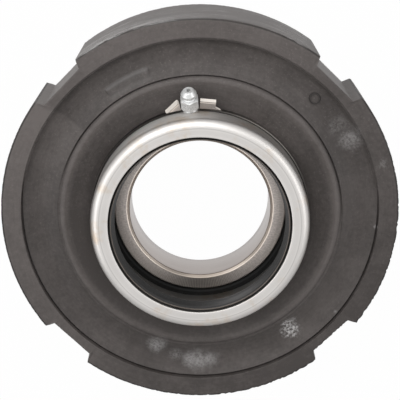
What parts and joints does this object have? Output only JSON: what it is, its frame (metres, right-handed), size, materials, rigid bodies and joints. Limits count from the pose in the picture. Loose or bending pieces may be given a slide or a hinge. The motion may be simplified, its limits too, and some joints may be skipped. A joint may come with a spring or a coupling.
{
  "type": "driveshaft centre bearing",
  "caption": "Driveshaft centre bearing: a sealed wide ball bearing in a notched rubber cushion, with an angled grease nipple.",
  "frame": {"origin": "centre of the shaft bore on the bearing's middle plane", "axes": "+Z along the bearing axis towards the front face with the grease nipple, +Y towards the nipple, lying on its rear face"},
  "size_m": [0.166, 0.166, 0.057],
  "materials": {
    "cushion_rubber": "matt moulded",
    "sleeve_steel": "plain sheet",
    "ring_steel": "turned",
    "race_steel": "ground",
    "ball_steel": "polished",
    "cage_steel": "pressed sheet",
    "seal_rubber": "matt",
    "case_steel": "blackened sheet",
    "lip_rubber": "satin",
    "nipple_zinc": "bright zinc"
  },
  "bodies": {
    "cushion_body": {"rubber_cushion": "cushion_rubber", "cushion_sleeve": "sleeve_steel", "outer_ring": "ring_steel", "front_bearing_seal": "seal_rubber", "rear_bearing_seal": "seal_rubber", "front_dust_case": "case_steel", "front_dust_lip": "lip_rubber", "rear_dust_case": "case_steel", "rear_dust_lip": "lip_rubber", "grease_nipple": "nipple_zinc", "nipple_spring": "cage_steel"},
    "inner_body": {"inner_ring": "race_steel"},
    "cage_body": {"cage_front": "cage_steel", "cage_rear": "cage_steel", "cage_rivets": "cage_steel"},
    "ball_01_body": {"ball_01": "ball_steel"},
    "ball_02_body": {"ball_02": "ball_steel"},
    "ball_03_body": {"ball_03": "ball_steel"},
    "ball_04_body": {"ball_04": "ball_steel"},
    "ball_05_body": {"ball_05": "ball_steel"},
    "ball_06_body": {"ball_06": "ball_steel"},
    "ball_07_body": {"ball_07": "ball_steel"},
    "ball_08_body": {"ball_08": "ball_steel"},
    "ball_09_body": {"ball_09": "ball_steel"},
    "ball_10_body": {"ball_10": "ball_steel"},
    "ball_11_body": {"ball_11": "ball_steel"},
    "ball_12_body": {"ball_12": "ball_steel"},
    "ball_13_body": {"ball_13": "ball_steel"},
    "ball_14_body": {"ball_14": "ball_steel"},
    "check_ball_body": {"nipple_check_ball": "ball_steel"}
  },
  "joints": [
    {"name": "inner_spin", "type": "hinge", "parent": "cushion_body", "child": "inner_body", "pos_m": [0, 0, 0], "axis": [0, 0, 1], "continuous": true},
    {"name": "cage_orbit", "type": "hinge", "parent": "cushion_body", "child": "cage_body", "pos_m": [0, 0, 0], "axis": [0, 0, 1], "continuous": true},
    {"name": "ball_01_spin", "type": "hinge", "parent": "cage_body", "child": "ball_01_body", "pos_m": [0, 0.038, 0], "axis": [0, 0, 1], "continuous": true},
    {"name": "ball_02_spin", "type": "hinge", "parent": "cage_body", "child": "ball_02_body", "pos_m": [-0.01649, 0.03424, 0], "axis": [0, 0, 1], "continuous": true},
    {"name": "ball_03_spin", "type": "hinge", "parent": "cage_body", "child": "ball_03_body", "pos_m": [-0.02971, 0.02369, 0], "axis": [0, 0, 1], "continuous": true},
    {"name": "ball_04_spin", "type": "hinge", "parent": "cage_body", "child": "ball_04_body", "pos_m": [-0.03705, 0.00846, 0], "axis": [0, 0, 1], "continuous": true},
    {"name": "ball_05_spin", "type": "hinge", "parent": "cage_body", "child": "ball_05_body", "pos_m": [-0.03705, -0.00846, 0], "axis": [0, 0, 1], "continuous": true},
    {"name": "ball_06_spin", "type": "hinge", "parent": "cage_body", "child": "ball_06_body", "pos_m": [-0.02971, -0.02369, 0], "axis": [0, 0, 1], "continuous": true},
    {"name": "ball_07_spin", "type": "hinge", "parent": "cage_body", "child": "ball_07_body", "pos_m": [-0.01649, -0.03424, 0], "axis": [0, 0, 1], "continuous": true},
    {"name": "ball_08_spin", "type": "hinge", "parent": "cage_body", "child": "ball_08_body", "pos_m": [0, -0.038, 0], "axis": [0, 0, 1], "continuous": true},
    {"name": "ball_09_spin", "type": "hinge", "parent": "cage_body", "child": "ball_09_body", "pos_m": [0.01649, -0.03424, 0], "axis": [0, 0, 1], "continuous": true},
    {"name": "ball_10_spin", "type": "hinge", "parent": "cage_body", "child": "ball_10_body", "pos_m": [0.02971, -0.02369, 0], "axis": [0, 0, 1], "continuous": true},
    {"name": "ball_11_spin", "type": "hinge", "parent": "cage_body", "child": "ball_11_body", "pos_m": [0.03705, -0.00846, 0], "axis": [0, 0, 1], "continuous": true},
    {"name": "ball_12_spin", "type": "hinge", "parent": "cage_body", "child": "ball_12_body", "pos_m": [0.03705, 0.00846, 0], "axis": [0, 0, 1], "continuous": true},
    {"name": "ball_13_spin", "type": "hinge", "parent": "cage_body", "child": "ball_13_body", "pos_m": [0.02971, 0.02369, 0], "axis": [0, 0, 1], "continuous": true},
    {"name": "ball_14_spin", "type": "hinge", "parent": "cage_body", "child": "ball_14_body", "pos_m": [0.01649, 0.03424, 0], "axis": [0, 0, 1], "continuous": true},
    {"name": "check_ball_slide", "type": "slide", "parent": "cushion_body", "child": "check_ball_body", "axis": [0.074, -0.8629, -0.5], "range_m": [0, 0.0008], "stiffness_N_per_m": 50, "deforming": ["nipple_spring"]}
  ],
  "couplings": [
    {"joint": "cage_orbit", "follows": "inner_spin", "ratio": 0.44256},
    {"joint": "ball_01_spin", "follows": "inner_spin", "ratio": -4.2949},
    {"joint": "ball_02_spin", "follows": "inner_spin", "ratio": -4.2949},
    {"joint": "ball_03_spin", "follows": "inner_spin", "ratio": -4.2949},
    {"joint": "ball_04_spin", "follows": "inner_spin", "ratio": -4.2949},
    {"joint": "ball_05_spin", "follows": "inner_spin", "ratio": -4.2949},
    {"joint": "ball_06_spin", "follows": "inner_spin", "ratio": -4.2949},
    {"joint": "ball_07_spin", "follows": "inner_spin", "ratio": -4.2949},
    {"joint": "ball_08_spin", "follows": "inner_spin", "ratio": -4.2949},
    {"joint": "ball_09_spin", "follows": "inner_spin", "ratio": -4.2949},
    {"joint": "ball_10_spin", "follows": "inner_spin", "ratio": -4.2949},
    {"joint": "ball_11_spin", "follows": "inner_spin", "ratio": -4.2949},
    {"joint": "ball_12_spin", "follows": "inner_spin", "ratio": -4.2949},
    {"joint": "ball_13_spin", "follows": "inner_spin", "ratio": -4.2949},
    {"joint": "ball_14_spin", "follows": "inner_spin", "ratio": -4.2949}
  ]
}
